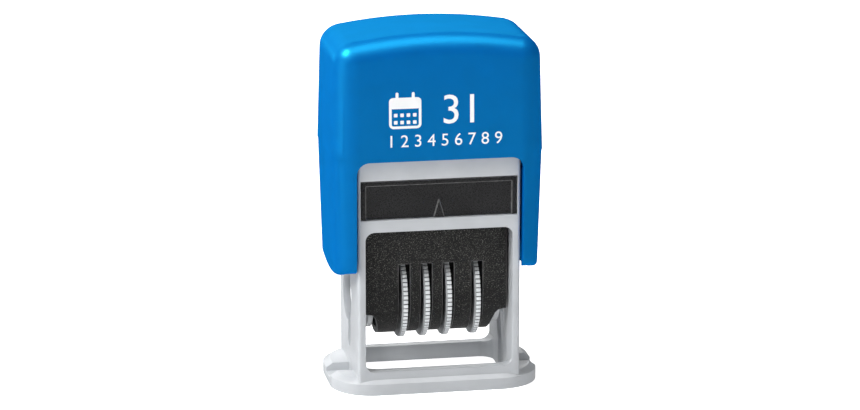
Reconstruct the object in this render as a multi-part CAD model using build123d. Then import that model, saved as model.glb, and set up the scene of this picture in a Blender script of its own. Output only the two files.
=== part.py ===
from build123d import *
import math
import os

os.makedirs("parts", exist_ok=True)

# Self-inking date stamp, millimetres. X runs left to right, Y front to back, Z up.
# Z = 0 is the paper, and the stamp stands on its base ring at rest.

# travel of the mechanism
stroke = 16.5            # how far the cap goes down
print_reach = 7.3        # trunnion axis to the printing plane
axis_z = stroke + print_reach
flip_turn = 180.0        # degrees that the date unit turns over the stroke

# clearances
slide_gap = 0.3          # between the cap and the frame
running_gap = 0.05       # radial, pins in their holes
track_gap = 0.1          # radial, pins in the frame's tracks
side_gap = 0.37          # between the date unit and the frame's walls
seat_gap = 0.05          # between a loose piece and what it rests on
pad_gap = 0.17           # between the characters at rest and the cartridge's bay
opening_gap = 0.15       # between the date unit's top and the top of its window
ceiling_gap = 0.3        # between the frame and the cap's ceiling once pressed
past = 1.0               # how far a cut runs past the face that it opens

# frame
frame_half_width = 14.28
frame_half_depth = 10.4
wall = 1.31
bar = 1.2
sill_z = 3.97
unit_rise = 5.2          # trunnion axis to the top of the date unit
bay_height = 7.02
tower_rise = 6.21        # top of the bay to the top of the frame
opening_corner = 1.6
tower_corner = 0.5
bay_wall = 0.49
roof = 1.3
inner_half_width = frame_half_width - wall
bay_half_width = frame_half_width - bay_wall
cover_top_z = axis_z + unit_rise
opening_z = (sill_z, cover_top_z + opening_gap)
bay_low_z = axis_z + print_reach + pad_gap
bay_z = (bay_low_z, bay_low_z + bay_height)
frame_top_z = bay_z[1] + tower_rise

# base ring and its side flanges
foot_width = 4.12        # base ring outside the frame, at each side
foot_step = 0.9          # the same in front and behind
base_width = 2 * (frame_half_width + foot_width)
base_depth = 2 * (frame_half_depth + foot_step)
base_corner = 7.5
rim_height = 2.0
ramp_run = 2.9
flange_z = 2.8
flange_notch_z = 1.4
flange_notch_y = (-4.2, 0.4)
front_sill = 2.1
rear_sill = 1.8
print_window_y = (front_sill - frame_half_depth, frame_half_depth - rear_sill)
print_window_corner = 2.5

# trunnions, flip studs and their tracks
trunnion_radius = 1.2
collar_radius = 2.3
track_depth = 0.6
stud_radius = 0.9
stud_reach = 4.0
cam_window_radius = 4.6
cam_window_y = 2.2
cam_window_drop = 9.0    # trunnion axis down to the cam window's centre
track_step = 15          # degrees of turn between points of the studs' track

# cap
arm_width = 4.02
front_wall = 1.2
cap_half_width = frame_half_width + slide_gap + arm_width
cap_half_depth = frame_half_depth + slide_gap + front_wall
cap_corner = 4.7
cap_ledge = 0.1
arch_drop = 2.64         # top of the frame down to the arch
ledge_rise = 0.5         # arch up to the ledge
arch_z = frame_top_z - arch_drop
ledge_z = arch_z + ledge_rise
arch_corner = 2.2
arm_drop = 3.7           # trunnion axis down to the arms' ends
arm_end_z = axis_z - arm_drop
arm_end_radius = 28.0
arm_edge = 0.9
upper_draft = 1.75
lower_draft = 1.7
crown_radius = 88.0
crown_edge = 3.8
cap_wall = 1.7
crown_wall = 2.3
ceiling_z = frame_top_z + stroke + ceiling_gap
overall_height = ceiling_z + crown_wall
chamber_round = 3.0
chamber_inset = 0.5      # extra wall at the sides, which lean inwards
arm_rim = 1.5
boss_radius = 2.3
boss_wall = 1.75
pin_end_gap = 0.1

# return spring
spring_radius = 3.6
spring_wire = 0.7
spring_turns = 7
post_radius = 2.8
post_height = 2.4

# ink cartridge
tray_wall = 1.2
tray_corner = 0.4
tray_inset = 0.4
tray_side_gap = 0.19
tray_top_gap = 0.2
face_recess = 0.3
face_border = 0.8
arrow_width = 1.9
arrow_height = 3.2
arrow_relief = 0.25

# date unit
unit_half_width = inner_half_width - side_gap
cover_half_depth = 7.0
cover_wall = 1.1
cover_side = 0.8
cover_edge = 0.8
notch_width = 2.7
notch_drop = 10.4        # trunnion axis down to the corner notch's upper end
cheek = 0.95
bridge_half_depth = 2.4
bridge_round = 1.2
bridge_depth = 4.6

# wheels, bands and axle
wheel_drop = 8.4         # trunnion axis down to the wheels' axle
wheel_z = axis_z - wheel_drop
wheel_radius = 7.9
wheel_teeth = 64
tooth_depth = 0.35
rim_width = 1.0
rim_places = (-5.6, -1.7, 2.2, 7.3)
wheel_gap = 0.15
hub_radius = 3.85
axle_radius = 1.0
slot_side_gap = 0.5
slot_drop = 1.5          # trunnion axis down to the slots' upper ends
slot_top_z = axis_z - slot_drop
band_thickness = 0.7
band_side_gap = 0.1
letter_height = 0.75
letter_length = 3.7
letter_pitch = 4.6
letter_side = 0.3        # band left bare at each side of a character
letter_root = 0.1        # how deep a character's block is sunk into the band
spacer_radius = 2.4
wheel_names = ("day_tens", "day_units", "month", "year")

cheek_inner_x = unit_half_width - cover_side - seat_gap - cheek
frame_top_round = chamber_round - slide_gap
bridge_top_z = axis_z + print_reach - letter_height - band_thickness - running_gap


def block(x, y, z):
    """A box from its low and high values along each axis."""
    size = Box(x[1] - x[0], y[1] - y[0], z[1] - z[0])
    centre = ((x[0] + x[1]) / 2, (y[0] + y[1]) / 2, (z[0] + z[1]) / 2)
    return Pos(*centre) * size


def rod(radius, x, y, z):
    """A round bar along X from x[0] to x[1], centred at y, z."""
    bar_solid = Rot(0, 90, 0) * Cylinder(radius, x[1] - x[0])
    return Pos((x[0] + x[1]) / 2, y, z) * bar_solid


def side_prism(sketch, x):
    """A sketch drawn as (Y, Z), extruded along X from x[0] to x[1]."""
    plane = Plane(origin=(x[0], 0, 0), x_dir=(0, 1, 0), z_dir=(1, 0, 0))
    return extrude(plane * sketch, amount=x[1] - x[0])


def front_prism(sketch, y):
    """A sketch drawn as (X, Z), extruded along Y from y[0] to y[1]."""
    plane = Plane(origin=(0, y[0], 0), x_dir=(1, 0, 0), z_dir=(0, -1, 0))
    return extrude(plane * sketch, amount=-(y[1] - y[0]))


def mirrored(shape):
    """The same shape on the other side of the YZ plane."""
    return mirror(shape, about=Plane.YZ)


def upright_slot(radius, low_z, high_z):
    """A (Y, Z) slot with round ends, for a pin that travels from low_z to high_z."""
    middle = Pos(0, (low_z + high_z) / 2) * Rectangle(2 * radius, high_z - low_z)
    ends = Pos(0, low_z) * Circle(radius) + Pos(0, high_z) * Circle(radius)
    return middle + ends


def stud_path(turn):
    """Where a flip stud is, as (Y, Z), once the date unit has turned by turn degrees."""
    drop = stroke * turn / flip_turn
    angle = math.radians(turn)
    return (stud_reach * math.sin(angle), axis_z - drop + stud_reach * math.cos(angle))


# ---------------------------------------------------------------- frame

def base_ring():
    outline = RectangleRounded(base_width, base_depth, base_corner)
    plate = extrude(outline, amount=rim_height)
    ramp_rise = opening_z[0] - rim_height
    ramp_angle = math.degrees(math.atan(ramp_run / ramp_rise))
    ramp = Pos(0, 0, rim_height) * extrude(outline, amount=ramp_rise, taper=ramp_angle)
    ring = plate + ramp
    outside = (frame_half_width, base_width)
    flange = block(outside, (-base_depth, base_depth), (flange_z, frame_top_z))
    notch = block(outside, flange_notch_y, (flange_notch_z, frame_top_z))
    for cut in (flange, notch):
        ring -= cut
        ring -= mirrored(cut)
    return ring


def wall_tracks():
    """Everything that is cut from the two side walls for the trunnions and studs."""
    through = (-base_width, base_width)
    groove_half = inner_half_width + track_depth
    groove = (-groove_half, groove_half)
    low_z = axis_z - stroke
    cuts = side_prism(upright_slot(trunnion_radius + track_gap, low_z, axis_z), through)
    cuts += side_prism(upright_slot(collar_radius + track_gap, -collar_radius, axis_z), groove)
    cam_window = Pos(cam_window_y, axis_z - cam_window_drop) * Circle(cam_window_radius)
    cuts += side_prism(cam_window, through)
    points = [stud_path(turn) for turn in range(0, int(flip_turn) + 1, track_step)]
    width = 2 * (stud_radius + track_gap)
    track = trace(Spline(points), line_width=width)
    for end in (points[0], points[-1]):
        track += Pos(*end) * Circle(width / 2)
    cuts += side_prism(track, groove)
    return cuts


def window_opening(low_z):
    """(X, Z) outline of the lower window, in front or behind, from low_z upwards."""
    height = opening_z[1] - low_z
    outline = RectangleRounded(2 * inner_half_width, height, opening_corner)
    return Pos(0, low_z + height / 2) * outline


def make_frame():
    x_wall = (-frame_half_width, frame_half_width)
    y_wall = (-frame_half_depth, frame_half_depth)
    tower = block(x_wall, y_wall, (0, frame_top_z))
    top_edges = tower.edges().group_by(Axis.Z)[-1]
    tower = fillet(top_edges.filter_by(Axis.X), radius=frame_top_round)
    tower = fillet(tower.edges().filter_by(Axis.Z), radius=tower_corner)
    frame = tower + base_ring()

    x_in = (-inner_half_width, inner_half_width)
    y_in = (-frame_half_depth + bar, frame_half_depth - bar)
    y_all = (-base_depth, base_depth)
    print_window = RectangleRounded(2 * inner_half_width,
                                    print_window_y[1] - print_window_y[0],
                                    print_window_corner)
    window_centre = (print_window_y[0] + print_window_y[1]) / 2
    frame -= Pos(0, window_centre, -past) * extrude(print_window,
                                                     amount=opening_z[0] + 2 * past)
    frame -= block(x_in, y_in, (opening_z[0], bay_z[0] + past))
    frame -= front_prism(window_opening(opening_z[0]), (-base_depth, 0))
    frame -= front_prism(window_opening(flange_z), (0, base_depth))

    bay = (-bay_half_width, bay_half_width)
    frame -= block(bay, y_all, bay_z)

    roof_z = bay_z[1] + roof
    pocket_half_depth = frame_half_depth - frame_top_round
    frame -= block(x_in, (-pocket_half_depth, pocket_half_depth), (roof_z, frame_top_z + past))
    frame += Pos(0, 0, roof_z + post_height / 2) * Cylinder(post_radius, post_height)
    frame -= wall_tracks()
    return frame


# ---------------------------------------------------------------- cap

def cap_outside():
    outline = RectangleRounded(2 * cap_half_width, 2 * cap_half_depth, cap_corner)
    upper = Pos(0, 0, ledge_z) * extrude(outline, amount=overall_height - ledge_z,
                                         taper=upper_draft)
    crown = Pos(0, 0, overall_height - crown_radius) * (
        Rot(90, 0, 0) * Cylinder(crown_radius, 4 * cap_half_depth))
    upper = upper & crown
    upper = fillet(upper.edges().filter_by(
        lambda edge: edge.bounding_box().min.Z > ceiling_z), radius=crown_edge)

    low_outline = RectangleRounded(2 * (cap_half_width - cap_ledge),
                                   2 * (cap_half_depth - cap_ledge), cap_corner - cap_ledge)
    lower = Pos(0, 0, ledge_z) * extrude(low_outline, amount=arm_end_z - ledge_z,
                                         taper=lower_draft)
    arm_end = Pos(0, arm_end_z + arm_end_radius) * Circle(arm_end_radius)
    keep = side_prism(arm_end, (-cap_half_width, cap_half_width))
    keep += block((-base_width, base_width), (-base_depth, base_depth),
                  (arm_end_z + arm_end_radius / 4, ledge_z + past))
    lower = lower & keep
    rim_z = arm_end_z + arm_end_radius / 8
    lower = fillet(lower.edges().filter_by(
        lambda edge: edge.bounding_box().max.Z < rim_z), radius=arm_edge)
    return upper + lower


def leaning_in(z):
    """How far the lower cap's outside has come in at height z."""
    return cap_ledge + (ledge_z - z) * math.tan(math.radians(lower_draft))


def trunnion_boss():
    inner_x = frame_half_width + slide_gap + running_gap
    outer_x = cap_half_width - cap_wall
    return rod(boss_radius, (inner_x, outer_x), 0, axis_z)


def make_cap():
    cap = cap_outside()
    arch_half = frame_half_width + slide_gap
    guide_half = frame_half_depth + slide_gap
    hollow_half = cap_half_width - cap_wall - chamber_inset
    arch_low = arm_end_z - 2 * arch_corner
    arch_height = arch_z - arch_low
    arch = Pos(0, (arch_z + arch_low) / 2) * RectangleRounded(2 * arch_half, arch_height,
                                                               arch_corner)
    cap -= front_prism(arch, (-base_depth, base_depth))

    hollow = RectangleRounded(2 * hollow_half, 2 * guide_half, cap_corner - cap_wall)
    chamber_low = arch_z - arch_corner
    chamber = Pos(0, 0, chamber_low) * extrude(hollow, amount=ceiling_z - chamber_low)
    chamber = fillet(chamber.edges().group_by(Axis.Z)[-1], radius=chamber_round)
    cap -= chamber

    rim_half = cap_half_depth - arm_rim - leaning_in(arm_end_z)
    cap -= block((-hollow_half, hollow_half), (-rim_half, rim_half), (arch_low, arch_z))

    boss = trunnion_boss()
    tip_x = cap_half_width - boss_wall
    hole = rod(trunnion_radius + running_gap, (frame_half_width, tip_x), 0, axis_z)
    cap += boss + mirrored(boss)
    cap -= hole
    cap -= mirrored(hole)
    cap += Pos(0, 0, ceiling_z - post_height / 2) * Cylinder(post_radius, post_height)
    return cap


# ---------------------------------------------------------------- spring and cartridge

def make_spring():
    low_z = bay_z[1] + roof + spring_wire / 2 + seat_gap
    high_z = ceiling_z - spring_wire / 2 - seat_gap
    height = high_z - low_z
    path = Helix(pitch=height / spring_turns, height=height, radius=spring_radius)
    start = Plane(origin=path @ 0, z_dir=path % 0)
    coil = sweep(start * Circle(spring_wire / 2), path=path)
    return Pos(0, 0, low_z) * coil


def tray_box():
    half_width = bay_half_width - tray_side_gap
    half_depth = frame_half_depth - tray_inset
    z = (bay_z[0] + seat_gap, bay_z[1] - tray_top_gap)
    return half_width, half_depth, z


def make_tray():
    half_width, half_depth, z = tray_box()
    tray = block((-half_width, half_width), (-half_depth, half_depth), z)
    tray = fillet(tray.edges().filter_by(Axis.Z), radius=tray_corner)
    tray -= block((-half_width + tray_wall, half_width - tray_wall),
                  (-half_depth + tray_wall, half_depth - tray_wall), (z[0] - past, z[1] - tray_wall))
    panel = block((-half_width + face_border, half_width - face_border),
                  (-half_depth - past, -half_depth + face_recess), (z[0] - past, z[1] - face_border))
    tray -= panel
    arrow = Polygon((-arrow_width / 2, z[0]), (arrow_width / 2, z[0]), (0, z[0] + arrow_height),
                    align=None)
    face_y = -half_depth + face_recess
    tray += front_prism(arrow, (face_y - arrow_relief, face_y + tray_wall / 2))
    return tray


def make_pad():
    half_width, half_depth, z = tray_box()
    return block((-half_width + tray_wall, half_width - tray_wall),
                 (-half_depth + tray_wall, half_depth - tray_wall), (z[0], z[1] - tray_wall))


# ---------------------------------------------------------------- date unit shells

def unit_profile(half_depth, top_z):
    """Side outline of the date unit: flat front and back, round underneath."""
    flat = Pos(0, (wheel_z + top_z) / 2) * Rectangle(2 * half_depth, top_z - wheel_z)
    return flat + Pos(0, wheel_z) * Circle(half_depth)


def corner_notch():
    """Cut at the cover's lower right corner that shows the cheek."""
    width = notch_width
    top_z = axis_z - notch_drop
    edge_x = unit_half_width
    outline = Polygon((edge_x + past, 0), (edge_x + past, top_z), (edge_x, top_z),
                      (edge_x - 0.5 * width, top_z - 0.2), (edge_x - 0.7 * width, top_z - 0.8),
                      (edge_x - 0.9 * width, top_z - 2.4), (edge_x - width, top_z - 4.4),
                      (edge_x - width, 0), align=None)
    return front_prism(outline, (-2 * cover_half_depth, past))


def cover_shell():
    """The front cover; the rear one is its mirror image."""
    x = (-unit_half_width, unit_half_width)
    wide = (x[0] - past, x[1] + past)
    hollow = (x[0] + cover_side, x[1] - cover_side)
    outside = side_prism(unit_profile(cover_half_depth, cover_top_z), x)
    top_edges = outside.edges().filter_by(Axis.X).group_by(Axis.Z)[-1]
    shell = fillet(top_edges, radius=cover_edge)
    shell -= side_prism(unit_profile(cover_half_depth - cover_wall, cover_top_z - cover_wall),
                        hollow)
    shell -= block(wide, (-running_gap, cover_half_depth + past), (0, cover_top_z + past))

    lip = bridge_half_depth + band_thickness + letter_height
    shell -= block(hollow, (-lip, past), (cover_top_z - 2 * cover_wall, cover_top_z + past))
    for place in rim_places:
        half = rim_width / 2 + slot_side_gap
        shell -= block((place - half, place + half), (-2 * cover_half_depth, past),
                       (0, slot_top_z))
    notch = corner_notch()
    shell -= notch
    shell -= mirrored(notch)
    shell -= rod(collar_radius + running_gap, wide, 0, axis_z)
    shell -= rod(stud_radius + running_gap, wide, *stud_path(0))
    return shell


def make_cheek():
    """The right cheek; its mirror image is the left one."""
    plate_x = (cheek_inner_x, cheek_inner_x + cheek)
    inset = cover_wall + seat_gap
    plate = side_prism(unit_profile(cover_half_depth - inset, cover_top_z - inset), plate_x)
    collar_x = (plate_x[1], inner_half_width + track_depth - track_gap)
    tip_x = cap_half_width - boss_wall - pin_end_gap
    plate += rod(collar_radius, collar_x, 0, axis_z)
    plate += rod(trunnion_radius, (collar_x[1], tip_x), 0, axis_z)
    plate += rod(stud_radius, collar_x, *stud_path(0))
    plate -= rod(axle_radius, (plate_x[0] - past, plate_x[1] + past), 0, wheel_z)
    return plate


def make_bridge():
    z = (bridge_top_z - bridge_depth, bridge_top_z)
    outline = Pos(0, sum(z) / 2) * Rectangle(2 * bridge_half_depth, z[1] - z[0])
    bridge_bar = side_prism(outline, (-cheek_inner_x, cheek_inner_x))
    top_edges = bridge_bar.edges().filter_by(Axis.X).group_by(Axis.Z)[-1]
    return fillet(top_edges, radius=bridge_round)


# ---------------------------------------------------------------- wheels and bands

def wheel_span(index):
    """Left face, hub start and right end of one wheel."""
    left = rim_places[index] - rim_width / 2
    hub = rim_places[index] + rim_width / 2
    if index + 1 < len(rim_places):
        end = rim_places[index + 1] - rim_width / 2 - wheel_gap
    else:
        end = cheek_inner_x - 2 * wheel_gap
    return left, hub, end


def knurled_rim():
    """Toothed disc outline, one point at each tooth's tip and root."""
    points = []
    for step in range(2 * wheel_teeth):
        angle = math.pi * step / wheel_teeth
        radius = wheel_radius - tooth_depth * (step % 2)
        points.append((radius * math.cos(angle), radius * math.sin(angle)))
    return Polygon(*points, align=None)


def make_wheel(index):
    left, hub, end = wheel_span(index)
    wheel = side_prism(Pos(0, wheel_z) * knurled_rim(), (left, hub))
    wheel += rod(hub_radius, (hub, end), 0, wheel_z)
    wheel -= rod(axle_radius + running_gap, (left - past, end + past), 0, wheel_z)
    return wheel


def band_loop(offset):
    """Outline round the bridge's two corners and the wheel's hub, offset outwards."""
    corner_y = bridge_half_depth - bridge_round
    corner_z = bridge_top_z - bridge_round
    rounds = Pos(-corner_y, corner_z) * Circle(bridge_round + offset)
    rounds += Pos(corner_y, corner_z) * Circle(bridge_round + offset)
    rounds += Pos(0, wheel_z) * Circle(hub_radius + offset)
    return make_hull(rounds.edges())


def strand(offset):
    """Ends of the band's straight rear strand, as (Y, Z) points, offset outwards."""
    top = Vector(bridge_half_depth - bridge_round, bridge_top_z - bridge_round)
    low = Vector(0, wheel_z)
    apart = low - top
    lean = math.acos((bridge_round - hub_radius) / apart.length)
    angle = math.atan2(apart.Y, apart.X) + lean
    normal = Vector(math.cos(angle), math.sin(angle))
    return top + normal * (bridge_round + offset), low + normal * (hub_radius + offset), normal


def make_band(index):
    _, hub, end = wheel_span(index)
    x = (hub + band_side_gap, end - band_side_gap)
    outer = running_gap + band_thickness
    band = side_prism(band_loop(outer), x) - side_prism(band_loop(running_gap), x)

    letter_x = (x[0] + letter_side, x[1] - letter_side)
    top_z = bridge_top_z + outer
    letters = block(letter_x, (-letter_length / 2, letter_length / 2),
                    (top_z - letter_root, top_z + letter_height))
    start, finish, normal = strand(outer)
    run = finish - start
    lean = math.degrees(math.atan2(normal.Y, normal.X))
    count = int(run.length // letter_pitch)
    for place in range(count):
        middle = (letter_height - letter_root) / 2
        centre = start + run * ((place + 0.6) / count) + normal * middle
        pad = Rot(0, 0, lean) * Rectangle(letter_height + letter_root, letter_length)
        pad = Pos(centre.X, centre.Y) * pad
        rear = side_prism(pad, letter_x)
        letters += rear + mirror(rear, about=Plane.XZ)
    return band + letters


def make_axle():
    length = cheek_inner_x + cheek
    return rod(axle_radius, (-length, length), 0, wheel_z)


def make_sleeve(x):
    bore = rod(axle_radius + running_gap, (x[0] - past, x[1] + past), 0, wheel_z)
    return rod(spacer_radius, x, 0, wheel_z) - bore


# ---------------------------------------------------------------- all pieces

cover = cover_shell()
right_cheek = make_cheek()
first_left = wheel_span(0)[0]
last_end = wheel_span(len(rim_places) - 1)[2]
pieces = {
    "frame": make_frame(),
    "cap": make_cap(),
    "return_spring": make_spring(),
    "pad_tray": make_tray(),
    "ink_pad": make_pad(),
    "front_cover": cover,
    "rear_cover": mirror(cover, about=Plane.XZ),
    "left_cheek": mirrored(right_cheek),
    "right_cheek": right_cheek,
    "print_bridge": make_bridge(),
    "wheel_axle": make_axle(),
    "axle_spacer": make_sleeve((-cheek_inner_x, first_left - wheel_gap)),
    "axle_washer": make_sleeve((last_end + running_gap, cheek_inner_x)),
}
for number, name in enumerate(wheel_names):
    pieces[name + "_wheel"] = make_wheel(number)
    pieces[name + "_band"] = make_band(number)

for name, piece in pieces.items():
    export_step(piece, "parts/" + name + ".step")
    print(name, round(piece.volume, 2))
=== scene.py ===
import bpy
import math
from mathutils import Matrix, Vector


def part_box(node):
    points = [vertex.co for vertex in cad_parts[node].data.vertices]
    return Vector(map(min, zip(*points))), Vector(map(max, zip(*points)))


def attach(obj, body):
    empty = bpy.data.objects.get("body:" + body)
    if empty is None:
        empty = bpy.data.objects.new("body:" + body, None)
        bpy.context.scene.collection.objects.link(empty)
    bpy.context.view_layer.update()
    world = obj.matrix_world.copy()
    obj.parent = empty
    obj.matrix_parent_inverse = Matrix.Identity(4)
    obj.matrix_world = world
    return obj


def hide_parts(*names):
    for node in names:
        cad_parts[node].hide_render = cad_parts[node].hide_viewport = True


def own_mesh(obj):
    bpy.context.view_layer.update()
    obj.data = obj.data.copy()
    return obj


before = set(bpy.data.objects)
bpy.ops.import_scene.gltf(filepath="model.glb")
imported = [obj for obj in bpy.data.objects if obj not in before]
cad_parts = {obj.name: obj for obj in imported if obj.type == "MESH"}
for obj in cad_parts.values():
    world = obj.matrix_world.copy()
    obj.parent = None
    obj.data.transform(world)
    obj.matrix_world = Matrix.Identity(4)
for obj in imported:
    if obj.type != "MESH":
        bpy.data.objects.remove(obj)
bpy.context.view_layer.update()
mm = 0.001
edgeSteps = 2
smoothAngle = 35
wheelTitles = ("day_tens", "day_units", "month", "year")


# picking and modelling helpers

def pickNothing():
    if bpy.context.object and bpy.context.object.mode != "OBJECT":
        bpy.ops.object.mode_set(mode="OBJECT")
    bpy.ops.object.select_all(action="DESELECT")


def pickOnly(piece):
    pickNothing()
    piece.select_set(True)
    bpy.context.view_layer.objects.active = piece


def place(piece):
    # a finished piece sits at the origin, with its place in its mesh
    pickOnly(piece)
    bpy.ops.object.transform_apply(location=True, rotation=True, scale=True)


def useModifier(piece, kind, **values):
    pickOnly(piece)
    modifier = piece.modifiers.new(kind.lower(), kind)
    for key, value in values.items():
        setattr(modifier, key, value)
    bpy.ops.object.modifier_apply(modifier=modifier.name)


def softenEdges(piece, width, sharp=28, slotIndex=-1):
    useModifier(piece, "BEVEL", width=width, segments=edgeSteps, limit_method="ANGLE",
                angle_limit=math.radians(sharp), miter_outer="MITER_ARC", material=slotIndex)
    pickOnly(piece)
    bpy.ops.object.shade_smooth_by_angle(angle=math.radians(smoothAngle))


def editFaces(piece, wanted):
    # opens the piece for editing with only the wanted faces picked
    pickOnly(piece)
    bpy.context.tool_settings.mesh_select_mode = (False, False, True)
    bpy.ops.object.mode_set(mode="EDIT")
    bpy.ops.mesh.select_all(action="DESELECT")
    bpy.ops.object.mode_set(mode="OBJECT")
    for face in piece.data.polygons:
        face.select = wanted(face)
    bpy.ops.object.mode_set(mode="EDIT")


def joinAll(pieces, name):
    pickNothing()
    for piece in pieces:
        piece.select_set(True)
    bpy.context.view_layer.objects.active = pieces[0]
    bpy.ops.object.join()
    joined = bpy.context.object
    joined.name = name
    return joined


def faceOutwards(piece):
    pickOnly(piece)
    bpy.ops.object.mode_set(mode="EDIT")
    bpy.ops.mesh.select_all(action="SELECT")
    bpy.ops.mesh.normals_make_consistent(inside=False)
    bpy.ops.object.mode_set(mode="OBJECT")


def rodAlongX(radius, low, high, y, z, sides=64):
    pickNothing()
    bpy.ops.mesh.primitive_cylinder_add(
        vertices=sides, radius=radius, depth=high - low, end_fill_type="NGON",
        location=((low + high) / 2, y, z), rotation=(0, math.radians(90), 0))
    piece = bpy.context.object
    place(piece)
    return piece


def boreOut(piece, radius, low, high, y, z):
    cutter = rodAlongX(radius, low, high, y, z)
    useModifier(piece, "BOOLEAN", operation="DIFFERENCE", object=cutter, solver="EXACT")
    bpy.data.objects.remove(cutter)


def dress(piece, materials, body, slotName, *nodes):
    # the faces keep the number of the material that each one takes
    numbers = [face.material_index for face in piece.data.polygons]
    piece.data.materials.clear()
    for material in materials:
        piece.data.materials.append(material)
    for face, number in zip(piece.data.polygons, numbers):
        face.material_index = min(number, len(materials) - 1)
    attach(piece, body)
    if nodes:
        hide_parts(*nodes)


def mouldedCopy(node, name, materials, body, slotName, edge, sharp=28):
    # the CAD node's shape, with the small edge rounds that its mould leaves
    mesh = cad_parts[node].data.copy()
    mesh.materials.clear()
    piece = bpy.data.objects.new(name, mesh)
    bpy.context.scene.collection.objects.link(piece)
    pickOnly(piece)
    bpy.ops.object.mode_set(mode="EDIT")
    bpy.ops.mesh.select_all(action="SELECT")
    bpy.ops.mesh.remove_doubles(threshold=0.5e-6)
    bpy.ops.mesh.dissolve_limited(angle_limit=math.radians(0.3))
    bpy.ops.object.mode_set(mode="OBJECT")
    for material in materials:
        mesh.materials.append(material)
    # the bevel faces take the last material, which for the tray and covers is a painted edge
    # highlight
    softenEdges(piece, edge, sharp, len(materials) - 1)
    dress(piece, materials, body, slotName, node)
    return piece


# materials

def newMaterial(name):
    material = bpy.data.materials.new(name)
    material.use_nodes = True
    tree = material.node_tree
    return material, tree, tree.nodes["Principled BSDF"]


def noise(tree, size, detail=3.0, rough=0.5):
    node = tree.nodes.new("ShaderNodeTexNoise")
    node.inputs["Scale"].default_value = 1 / size
    node.inputs["Detail"].default_value = detail
    node.inputs["Roughness"].default_value = rough
    coords = tree.nodes.new("ShaderNodeTexCoord")
    tree.links.new(coords.outputs["Object"], node.inputs["Vector"])
    return node.outputs["Fac"]


def remap(tree, source, low, high, fromLow=0.3, fromHigh=0.7):
    node = tree.nodes.new("ShaderNodeMapRange")
    node.inputs["From Min"].default_value = fromLow
    node.inputs["From Max"].default_value = fromHigh
    node.inputs["To Min"].default_value = low
    node.inputs["To Max"].default_value = high
    tree.links.new(source, node.inputs["Value"])
    return node.outputs["Result"]


def blendColours(tree, source, dark, light):
    node = tree.nodes.new("ShaderNodeMix")
    node.data_type = "RGBA"
    node.inputs["A"].default_value = (*dark, 1)
    node.inputs["B"].default_value = (*light, 1)
    tree.links.new(source, node.inputs["Factor"])
    return node.outputs["Result"]


def bump(tree, shader, source, depth, under=None):
    node = tree.nodes.new("ShaderNodeBump")
    node.inputs["Distance"].default_value = depth
    tree.links.new(source, node.inputs["Height"])
    if under is not None:
        tree.links.new(under, node.inputs["Normal"])
    tree.links.new(node.outputs["Normal"], shader.inputs["Normal"])
    return node.outputs["Normal"]


def mouldedPlastic(name, dark, light, roughness, grain, grainDepth, wave=4 * mm,
                   waveDepth=0.008 * mm, sheen=0, sheenColour=(1, 1, 1)):
    # a fine grain, a slow waviness from shrinkage, and slightly uneven gloss
    material, tree, shader = newMaterial(name)
    fine = noise(tree, grain, 4.0, 0.6)
    slow = noise(tree, wave, 2.0)
    colour = blendColours(tree, remap(tree, slow, 0, 1), dark, light)
    tree.links.new(colour, shader.inputs["Base Color"])
    gloss = remap(tree, fine, roughness - 0.05, roughness + 0.06)
    tree.links.new(gloss, shader.inputs["Roughness"])
    waves = bump(tree, shader, slow, waveDepth)
    grained = bump(tree, shader, fine, grainDepth, waves)
    if sheen:
        # a coloured sheen of its own in place of the plain white one
        shader.inputs["Specular IOR Level"].default_value = 0
        gleam = tree.nodes.new("ShaderNodeBsdfGlossy")
        gleam.inputs["Color"].default_value = (*sheenColour, 1)
        tree.links.new(gloss, gleam.inputs["Roughness"])
        tree.links.new(grained, gleam.inputs["Normal"])
        mix = tree.nodes.new("ShaderNodeMixShader")
        mix.inputs["Fac"].default_value = sheen
        tree.links.new(shader.outputs["BSDF"], mix.inputs[1])
        tree.links.new(gleam.outputs["BSDF"], mix.inputs[2])
        output = tree.nodes["Material Output"]
        tree.links.new(mix.outputs["Shader"], output.inputs["Surface"])
    return material


def heightMask(tree, low, high):
    coords = tree.nodes.new("ShaderNodeTexCoord")
    split = tree.nodes.new("ShaderNodeSeparateXYZ")
    tree.links.new(coords.outputs["Object"], split.inputs["Vector"])
    return remap(tree, split.outputs["Z"], 0, 1, low, high)


def combine(tree, operation, first, second):
    node = tree.nodes.new("ShaderNodeMath")
    node.operation = operation
    for source, socket in ((first, node.inputs[0]), (second, node.inputs[1])):
        if isinstance(source, float):
            socket.default_value = source
        else:
            tree.links.new(source, socket)
    return node.outputs["Value"]


def sparkPlasticWithPaintedGlints(name, dark, light, roughness, grain, grainDepth, paintedGlintSize, paintedGlintRange,
                 upperGlintBand, upperGlintLift, topEdgeGlintBand, topEdgeGlintLift):
    # spark-eroded black plastic: rough pits, and pale flecks painted into the colour as
    # painted highlights where a peak catches the light, most of them on the upper half and
    # along the top edge, where more painted highlight is laid
    material, tree, shader = newMaterial(name)
    shader.inputs["Specular IOR Level"].default_value = 0.45
    fine = noise(tree, grain, 5.0, 0.7)
    paintedGlints = noise(tree, paintedGlintSize, 2.0, 0.6)
    # painted highlight: more pale flecks on the upper half
    upper = combine(tree, "MULTIPLY", heightMask(tree, *upperGlintBand), upperGlintLift)
    # painted highlight: a pale line of flecks along the top edge, standing for the light it
    # mirrors
    edge = combine(tree, "MULTIPLY", heightMask(tree, *topEdgeGlintBand), topEdgeGlintLift)
    lifted = combine(tree, "ADD", combine(tree, "ADD", paintedGlints, upper), edge)
    # painted highlight: the pale flecks are blended into the base colour
    colour = blendColours(tree, remap(tree, lifted, 0, 1, *paintedGlintRange), dark, light)
    tree.links.new(colour, shader.inputs["Base Color"])
    tree.links.new(remap(tree, fine, roughness - 0.1, roughness + 0.12),
                   shader.inputs["Roughness"])
    bump(tree, shader, fine, grainDepth)
    return material


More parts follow.
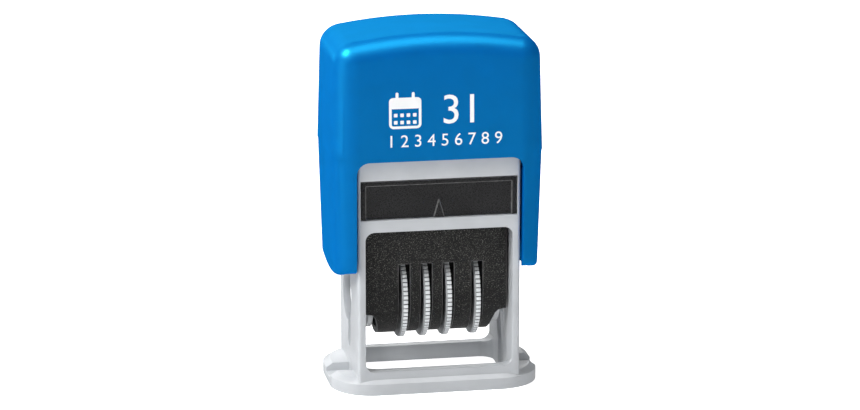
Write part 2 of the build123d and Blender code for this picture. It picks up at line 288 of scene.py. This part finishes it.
def wireSteel(name, dark, light, scratch, scratchDepth=0.003 * mm, gloss=(0.22, 0.38)):
    material, tree, shader = newMaterial(name)
    shader.inputs["Metallic"].default_value = 1.0
    fine = noise(tree, scratch, 5.0, 0.7)
    colour = blendColours(tree, remap(tree, fine, 0, 1), dark, light)
    tree.links.new(colour, shader.inputs["Base Color"])
    tree.links.new(remap(tree, fine, *gloss), shader.inputs["Roughness"])
    bump(tree, shader, fine, scratchDepth)
    return material


def inkFelt(name, dark, light, fibre, pile, patchSize=3 * mm):
    material, tree, shader = newMaterial(name)
    hairs = noise(tree, fibre, 6.0, 0.75)
    patch = noise(tree, patchSize, 2.0)
    colour = blendColours(tree, remap(tree, patch, 0, 1), dark, light)
    tree.links.new(colour, shader.inputs["Base Color"])
    tree.links.new(remap(tree, hairs, 0.55, 0.9), shader.inputs["Roughness"])
    shader.inputs["Sheen Weight"].default_value = 0.25
    bump(tree, shader, hairs, pile)
    return material


plastics = {
    "cap": dict(dark=(0.0, 0.096, 0.40), light=(0.0, 0.104, 0.43), roughness=0.40,
                grain=0.13 * mm, grainDepth=0.012 * mm, waveDepth=0.004 * mm,
                sheen=0.13, sheenColour=(0.035, 0.74, 0.96)),
    "frame": dict(dark=(0.50, 0.52, 0.54), light=(0.54, 0.56, 0.58), roughness=0.36,
                  grain=0.22 * mm, grainDepth=0.006 * mm),
    "tray": dict(dark=(0.012, 0.012, 0.013), light=(0.016, 0.016, 0.017), roughness=0.28,
                 grain=0.15 * mm, grainDepth=0.004 * mm),
    "cheek": dict(dark=(0.64, 0.66, 0.67), light=(0.69, 0.70, 0.71), roughness=0.42,
                  grain=0.2 * mm, grainDepth=0.006 * mm),
    "wheel": dict(dark=(0.78, 0.81, 0.82), light=(0.84, 0.86, 0.87), roughness=0.38,
                  grain=0.12 * mm, grainDepth=0.004 * mm),
    "rubber": dict(dark=(0.012, 0.012, 0.013), light=(0.02, 0.02, 0.021), roughness=0.62,
                   grain=0.1 * mm, grainDepth=0.012 * mm),
    "ink": dict(dark=(0.88, 0.90, 0.90), light=(0.94, 0.95, 0.95), roughness=0.5,
                grain=0.08 * mm, grainDepth=0.004 * mm),
    # painted highlight: a paler black for the bevelled edges of the tray and covers, standing
    # for the light their edges catch
    "paintedEdgeHighlight": dict(dark=(0.07, 0.07, 0.07), light=(0.16, 0.16, 0.16), roughness=0.3,
                      grain=0.25 * mm, grainDepth=0.004 * mm, wave=0.9 * mm),
    # painted shade: a darker grey for the groove floors between the wheels' teeth, standing
    # for the shade in them
    "groove": dict(dark=(0.32, 0.33, 0.34), light=(0.40, 0.41, 0.42), roughness=0.6,
                   grain=0.12 * mm, grainDepth=0.004 * mm),
}
finish = {name: mouldedPlastic(name + "Finish", **values) for name, values in plastics.items()}
# the cover's pale flecks are painted highlights, denser on the upper half and along the top
# edge
finish["cover"] = sparkPlasticWithPaintedGlints("coverPaintedGlintFinish", dark=(0.008, 0.008, 0.008),
                               light=(0.17, 0.17, 0.155), roughness=0.42,
                               grain=0.20 * mm, grainDepth=0.06 * mm, paintedGlintSize=0.17 * mm,
                               paintedGlintRange=(0.62, 0.70),
                               upperGlintBand=(9 * mm, 21 * mm), upperGlintLift=0.05,
                               topEdgeGlintBand=(28.2 * mm, 28.6 * mm), topEdgeGlintLift=0.09)
finish["wire"] = wireSteel("wireFinish", (0.42, 0.42, 0.43), (0.66, 0.66, 0.68), 0.12 * mm)
finish["pin"] = wireSteel("pinFinish", (0.5, 0.5, 0.5), (0.62, 0.62, 0.63), 0.3 * mm)
finish["felt"] = inkFelt("feltFinish", (0.006, 0.006, 0.02), (0.02, 0.02, 0.05),
                         0.18 * mm, 0.12 * mm)
print("materials made")


# moulded pieces that keep the CAD's shape

mouldings = {
    "frame": ("frameMoulding", "frame", "frame_body", "frame_plastic", 0.22 * mm),
    "cap": ("capMoulding", "cap", "cap_body", "cap_plastic", 0.18 * mm),
    "pad_tray": ("trayMoulding", "tray", "cartridge", "black_plastic", 0.10 * mm),
    "front_cover": ("frontCoverMoulding", "cover", "date_unit", "textured_plastic", 0.12 * mm),
    "rear_cover": ("rearCoverMoulding", "cover", "date_unit", "textured_plastic", 0.12 * mm),
    "left_cheek": ("leftCheekMoulding", "cheek", "date_unit", "cheek_plastic", 0.10 * mm),
    "right_cheek": ("rightCheekMoulding", "cheek", "date_unit", "cheek_plastic", 0.10 * mm),
    "print_bridge": ("bridgeMoulding", "cheek", "date_unit", "cheek_plastic", 0.15 * mm),
}
# the tray and covers take the painted edge highlight on their bevel faces
paintedEdgeHighlights = {"tray": "paintedEdgeHighlight", "cover": "paintedEdgeHighlight"}
for node, (name, look, body, slotName, edge) in mouldings.items():
    edgeLook = paintedEdgeHighlights.get(look, look)
    mouldedCopy(node, name, [finish[look], finish[edgeLook]], body, slotName, edge)
plainNodes = {"ink_pad": "felt", "wheel_axle": "pin", "axle_spacer": "cheek",
              "axle_washer": "pin"}
for node, look in plainNodes.items():
    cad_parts[node].data.materials.clear()
    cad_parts[node].data.materials.append(finish[look])
print("mouldings made")


# knurled wheels

wheel = {
    "teeth": 64,
    "toothShare": 4,
    "toothDepth": 0.35 * mm,
    "rimWidth": 1.0 * mm,
    "shoulder": 0.24 * mm,
    "shoulderDrop": 0.12 * mm,
    "shoulderSides": 128,
    "shoulderEdge": 0.08 * mm,
    "hubRadius": 3.85 * mm,
    "hubEdge": 0.15 * mm,
    "bore": 1.05 * mm,
    "dishMargin": 1.3 * mm,
    "dishDepth": 0.12 * mm,
    "edge": 0.05 * mm,
    "sharpAngle": 40,
}


def makeWheel(title):
    low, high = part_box(title + "_wheel")
    radius = (high[2] - low[2]) / 2
    middle = (high[2] + low[2]) / 2
    rimEnd = low[0] + wheel["rimWidth"]
    shoulderEnd = low[0] + wheel["shoulder"]
    rim = rodAlongX(radius - wheel["toothDepth"], shoulderEnd, rimEnd, 0, middle,
                    wheel["teeth"] * wheel["toothShare"])
    for material in (finish["wheel"], finish["groove"]):
        rim.data.materials.append(material)
    sides = [face for face in rim.data.polygons if abs(face.normal.x) < 0.5]
    sides.sort(key=lambda face: math.atan2(face.center.z - middle, face.center.y))
    raised = {face.index for number, face in enumerate(sides)
              if number % wheel["toothShare"] > 0}
    # the groove floors between the teeth take the painted groove shade
    for face in sides:
        face.material_index = int(face.index not in raised)
    editFaces(rim, lambda face: face.index in raised)
    bpy.ops.mesh.extrude_region_shrink_fatten(
        TRANSFORM_OT_shrink_fatten={"value": wheel["toothDepth"]})
    bpy.ops.object.mode_set(mode="OBJECT")
    softenEdges(rim, wheel["edge"], wheel["sharpAngle"])
    shoulder = rodAlongX(radius - wheel["shoulderDrop"], low[0], shoulderEnd, 0, middle,
                         wheel["shoulderSides"])
    editFaces(shoulder, lambda face: face.normal.x < -0.9)
    bpy.ops.mesh.inset(thickness=wheel["dishMargin"], depth=-wheel["dishDepth"])
    bpy.ops.object.mode_set(mode="OBJECT")
    softenEdges(shoulder, wheel["shoulderEdge"], wheel["sharpAngle"])
    hub = rodAlongX(wheel["hubRadius"], rimEnd - wheel["dishDepth"], high[0], 0, middle)
    softenEdges(hub, wheel["hubEdge"], wheel["sharpAngle"])
    for part in (rim, shoulder, hub):
        boreOut(part, wheel["bore"], low[0] - mm, high[0] + mm, 0, middle)
    piece = joinAll([rim, shoulder, hub], title + "Knurled")
    pickOnly(piece)
    bpy.ops.object.shade_smooth_by_angle(angle=math.radians(smoothAngle))
    dress(piece, [finish["wheel"], finish["groove"]], title, "wheel_plastic",
          title + "_wheel")


for title in wheelTitles:
    makeWheel(title)
print("wheels made")


# print bands with raised digits

band = {
    "edge": 0.06 * mm,
    "sharpAngle": 40,
    "digitSize": 3.2 * mm,
    "digitRise": 0.10 * mm,
    "digitLift": 0.4,
    "digitRoom": 0.78,
    "digits": {"day_tens": "2", "day_units": "8", "month": "06", "year": "30"},
}


def makeText(text, size, rise):
    pickNothing()
    bpy.ops.object.text_add()
    piece = bpy.context.object
    piece.data.body = text
    piece.data.align_x = "CENTER"
    piece.data.align_y = "CENTER"
    piece.data.size = size
    piece.data.extrude = rise / 2
    piece.data.resolution_u = 4
    pickOnly(piece)
    bpy.ops.object.convert(target="MESH")
    return bpy.context.object


def makeBand(title):
    low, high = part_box(title + "_band")
    mouldedCopy(title + "_band", title + "Rubber", [finish["rubber"]], "date_unit",
                "band_rubber", band["edge"], band["sharpAngle"])
    # the characters are mirrored, because they print
    text = makeText(band["digits"][title], band["digitSize"], band["digitRise"])
    wide = text.dimensions.x
    room = (high[0] - low[0]) * band["digitRoom"]
    text.scale = (-min(1, room / wide), 1, 1)
    text.location = ((low[0] + high[0]) / 2, 0,
                     high[2] + band["digitRise"] * band["digitLift"])
    place(text)
    text.name = title + "Digit"
    faceOutwards(text)
    dress(text, [finish["rubber"]], "date_unit", "band_rubber")


for title in wheelTitles:
    makeBand(title)
print("bands made")


# return spring

spring = {
    "radius": 3.6 * mm,
    "wire": 0.7 * mm,
    "wireSides": 16,
    "turns": 7,
    "stepsPerTurn": 40,
    "smoothAngle": 50,
    "pressedShare": 0.236,
}


def makeSpring():
    low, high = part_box("return_spring")
    height = high[2] - low[2] - spring["wire"]
    pickNothing()
    bpy.ops.mesh.primitive_circle_add(
        vertices=spring["wireSides"], radius=spring["wire"] / 2, fill_type="NOTHING",
        location=(spring["radius"], 0, 0), rotation=(math.radians(90), 0, 0))
    piece = bpy.context.object
    place(piece)
    useModifier(piece, "SCREW", axis="Z", angle=math.radians(360),
                screw_offset=height / spring["turns"], iterations=spring["turns"],
                steps=spring["stepsPerTurn"], render_steps=spring["stepsPerTurn"])
    bpy.ops.object.mode_set(mode="EDIT")
    bpy.ops.mesh.select_all(action="SELECT")
    bpy.ops.mesh.remove_doubles(threshold=1e-7)
    bpy.ops.mesh.select_all(action="DESELECT")
    bpy.ops.mesh.select_mode(type="VERT")
    bpy.ops.mesh.select_non_manifold()
    bpy.ops.mesh.edge_face_add()
    bpy.ops.object.mode_set(mode="OBJECT")
    piece.location = (0, 0, low[2] + spring["wire"] / 2)
    place(piece)
    faceOutwards(piece)
    pickOnly(piece)
    bpy.ops.object.shade_smooth_by_angle(angle=math.radians(spring["smoothAngle"]))
    piece.name = "springWire"
    dress(piece, [finish["wire"]], "frame_body", "spring_steel", "return_spring")
    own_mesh(piece)


makeSpring()
print("spring made")


# white print on the cap's front

capPrint = {
    "lean": 1.75,
    "ledge": 42.36 * mm,
    "face": -11.9 * mm,
    "thick": 0.02 * mm,
    "middleX": 0.7 * mm,
    "iconZ": 50.4 * mm,
    "iconX": -6.2 * mm,
    "iconSize": (5.6 * mm, 5.4 * mm),
    "iconCorner": 0.8 * mm,
    "line": 0.45 * mm,
    "cornerSteps": 6,
    "barRise": 0.32,
    "barShare": 0.36,
    "barCorner": 0.7 * mm,
    "barLayers": 1.4,
    "tabSpread": 0.25,
    "tabRise": 0.56,
    "tabSize": (0.5 * mm, 1.2 * mm),
    "tabCorner": 0.24 * mm,
    "dotRows": 2,
    "dotColumns": 4,
    "dotSteps": (1.1 * mm, 1.25 * mm),
    "dotDrop": 0.35 * mm,
    "dotSize": 0.62 * mm,
    "dotCorner": 0.12 * mm,
    "number": "31",
    "numberX": 3.6 * mm,
    "numberZ": 50.5 * mm,
    "numberSize": 7.2 * mm,
    "row": "1 2 3 4 5 6 7 8 9",
    "rowZ": 45.4 * mm,
    "rowSize": 3.0 * mm,
}


def roundedPlate(x, z, width, height, corner, border=0, layers=1):
    pickNothing()
    bpy.ops.mesh.primitive_plane_add(size=1, location=(x, z, 0))
    piece = bpy.context.object
    piece.scale = (width, height, 1)
    place(piece)
    bpy.ops.object.mode_set(mode="EDIT")
    bpy.ops.mesh.select_all(action="SELECT")
    bpy.ops.mesh.bevel(offset=corner, segments=capPrint["cornerSteps"], affect="VERTICES")
    if border:
        bpy.ops.mesh.select_all(action="SELECT")
        bpy.ops.mesh.inset(thickness=border)
        bpy.ops.mesh.delete(type="FACE")
    bpy.ops.object.mode_set(mode="OBJECT")
    useModifier(piece, "SOLIDIFY", thickness=layers * capPrint["thick"], offset=0)
    return piece


def makeCapPrint():
    x, z = capPrint["iconX"], capPrint["iconZ"]
    width, height = capPrint["iconSize"]
    stepX, stepZ = capPrint["dotSteps"]
    dot = capPrint["dotSize"]
    parts = [roundedPlate(x, z, width, height, capPrint["iconCorner"], capPrint["line"]),
             roundedPlate(x, z + capPrint["barRise"] * height, width,
                          capPrint["barShare"] * height, capPrint["barCorner"],
                          layers=capPrint["barLayers"])]
    for side in (-1, 1):
        parts.append(roundedPlate(x + side * capPrint["tabSpread"] * width,
                                  z + capPrint["tabRise"] * height,
                                  *capPrint["tabSize"], capPrint["tabCorner"]))
    for line in range(capPrint["dotRows"]):
        for column in range(capPrint["dotColumns"]):
            across = column - (capPrint["dotColumns"] - 1) / 2
            parts.append(roundedPlate(x + across * stepX,
                                      z - capPrint["dotDrop"] - line * stepZ,
                                      dot, dot, capPrint["dotCorner"]))
    number = makeText(capPrint["number"], capPrint["numberSize"], capPrint["thick"])
    number.location = (capPrint["numberX"], capPrint["numberZ"], 0)
    row = makeText(capPrint["row"], capPrint["rowSize"], capPrint["thick"])
    row.location = (capPrint["middleX"], capPrint["rowZ"], 0)
    parts += [number, row]
    for part in parts:
        place(part)
    piece = joinAll(parts, "capPrint")
    # from the drawing plane up onto the leaning front
    lean = math.radians(capPrint["lean"])
    piece.rotation_euler = (math.radians(90) - lean, 0, 0)
    piece.location = (0, capPrint["face"] - capPrint["ledge"] * math.tan(lean)
                      - capPrint["thick"] / 2, 0)
    place(piece)
    faceOutwards(piece)
    dress(piece, [finish["ink"]], "cap_body", "cap_plastic")


makeCapPrint()
print("cap print made")


# stage, lights and camera

studio = {
    "floorTone": (0.93, 0.93, 0.94),
    "cloudSize": 50 * mm,
    "cloudShade": 0.99,
    "floorRoughness": 0.8,
    "floorShine": 0.1,
    "floorGlow": 0.36,
    "floorAsSeen": 0.84,
    "floorInReflections": 0.38,
    "floorSize": 6.0,
    "skyLight": 0.27,
    "skyInReflections": 0.15,
    "aim": (0.0, 0.0, 33 * mm),
    "azimuth": -10.215,
    "elevation": 14.319,
    "distance": 582.6 * mm,
    "lens": 139.0,
    "shift": (0.00128, -0.01314),
}
lamps = {
    "key": dict(spot=(-0.75, -0.30, 0.75), size=(0.45, 0.45), power=9.5, shines=True),
    "fillRight": dict(spot=(0.8, -0.7, 0.4), size=(0.6, 0.6), power=0.5, shines=True),
    "overhead": dict(spot=(-0.10, 0.30, 1.10), size=(0.7, 0.5), power=6.0, shines=True),
    "glintTop": dict(spot=(0.05, -0.15, 1.0), size=(0.9, 0.6), power=9.0),
    "glintBack": dict(spot=(-0.1, 0.9, 0.45), size=(1.0, 0.5), power=4.0),
    "glintCorner": dict(spot=(-0.66, -0.03, 0.74), size=(0.16, 0.16), power=14.0),
    "glintLeft": dict(spot=(-0.55, 0.75, 0.12), size=(0.5, 0.2), power=1.5),
    "glintLow": dict(spot=(-0.24, -0.04, 0.03), size=(0.12, 0.14), power=0.12),
}


def lightPath(tree, kind):
    return tree.nodes.new("ShaderNodeLightPath").outputs[kind]


def makeFloor():
    pickNothing()
    bpy.ops.mesh.primitive_plane_add(size=studio["floorSize"])
    floor = bpy.context.object
    floor.name = "floor"
    material, tree, shader = newMaterial("paleFloor")
    pale = studio["floorTone"]
    shade = tuple(value * studio["cloudShade"] for value in pale)
    cloud = blendColours(tree, noise(tree, studio["cloudSize"], 2.0), pale, shade)
    tree.links.new(cloud, shader.inputs["Base Color"])
    shader.inputs["Roughness"].default_value = studio["floorRoughness"]
    shader.inputs["Specular IOR Level"].default_value = studio["floorShine"]
    shader.inputs["Emission Color"].default_value = (1, 1, 1, 1)
    glow = remap(tree, lightPath(tree, "Is Camera Ray"), studio["floorGlow"],
                 studio["floorAsSeen"], 0, 1)
    tree.links.new(glow, shader.inputs["Emission Strength"])
    # reflections see a darker floor, so that colours stay deep
    dim = tree.nodes.new("ShaderNodeEmission")
    dim.inputs["Strength"].default_value = studio["floorInReflections"]
    mix = tree.nodes.new("ShaderNodeMixShader")
    output = tree.nodes["Material Output"]
    tree.links.new(lightPath(tree, "Is Glossy Ray"), mix.inputs["Fac"])
    tree.links.new(shader.outputs["BSDF"], mix.inputs[1])
    tree.links.new(dim.outputs["Emission"], mix.inputs[2])
    tree.links.new(mix.outputs["Shader"], output.inputs["Surface"])
    floor.data.materials.append(material)


def makeSky():
    world = bpy.data.worlds.new("studio")
    bpy.context.scene.world = world
    world.use_nodes = True
    tree = world.node_tree
    strength = remap(tree, lightPath(tree, "Is Glossy Ray"), studio["skyLight"],
                     studio["skyInReflections"], 0, 1)
    back = tree.nodes["Background"]
    back.inputs["Color"].default_value = (1, 1, 1, 1)
    tree.links.new(strength, back.inputs["Strength"])


def makeLamps():
    for name, values in lamps.items():
        data = bpy.data.lights.new(name, "AREA")
        data.shape = "RECTANGLE"
        data.size, data.size_y = values["size"]
        data.energy = values["power"]
        lamp = bpy.data.objects.new(name, data)
        bpy.context.scene.collection.objects.link(lamp)
        lamp.visible_camera = False
        # a shining lamp lights the surfaces, and a glint only mirrors in them
        lamp.visible_glossy = not values.get("shines")
        lamp.visible_diffuse = bool(values.get("shines"))
        lamp.location = values["spot"]
        towards = Vector(studio["aim"]) - lamp.location
        lamp.rotation_euler = towards.to_track_quat("-Z", "Y").to_euler()


def makeCamera():
    data = bpy.data.cameras.new("camera")
    camera = bpy.data.objects.new("camera", data)
    bpy.context.scene.collection.objects.link(camera)
    turn = math.radians(studio["azimuth"])
    rise = math.radians(studio["elevation"])
    back = Vector((math.sin(turn) * math.cos(rise), -math.cos(turn) * math.cos(rise),
                   math.sin(rise)))
    camera.location = Vector(studio["aim"]) + back * studio["distance"]
    camera.rotation_euler = (-back).to_track_quat("-Z", "Y").to_euler()
    data.lens = studio["lens"]
    data.shift_x, data.shift_y = studio["shift"]
    data.clip_start = 0.01
    bpy.context.scene.camera = camera


makeFloor()
makeSky()
makeLamps()
makeCamera()
bpy.context.scene.view_settings.view_transform = "Standard"
print("stage set")
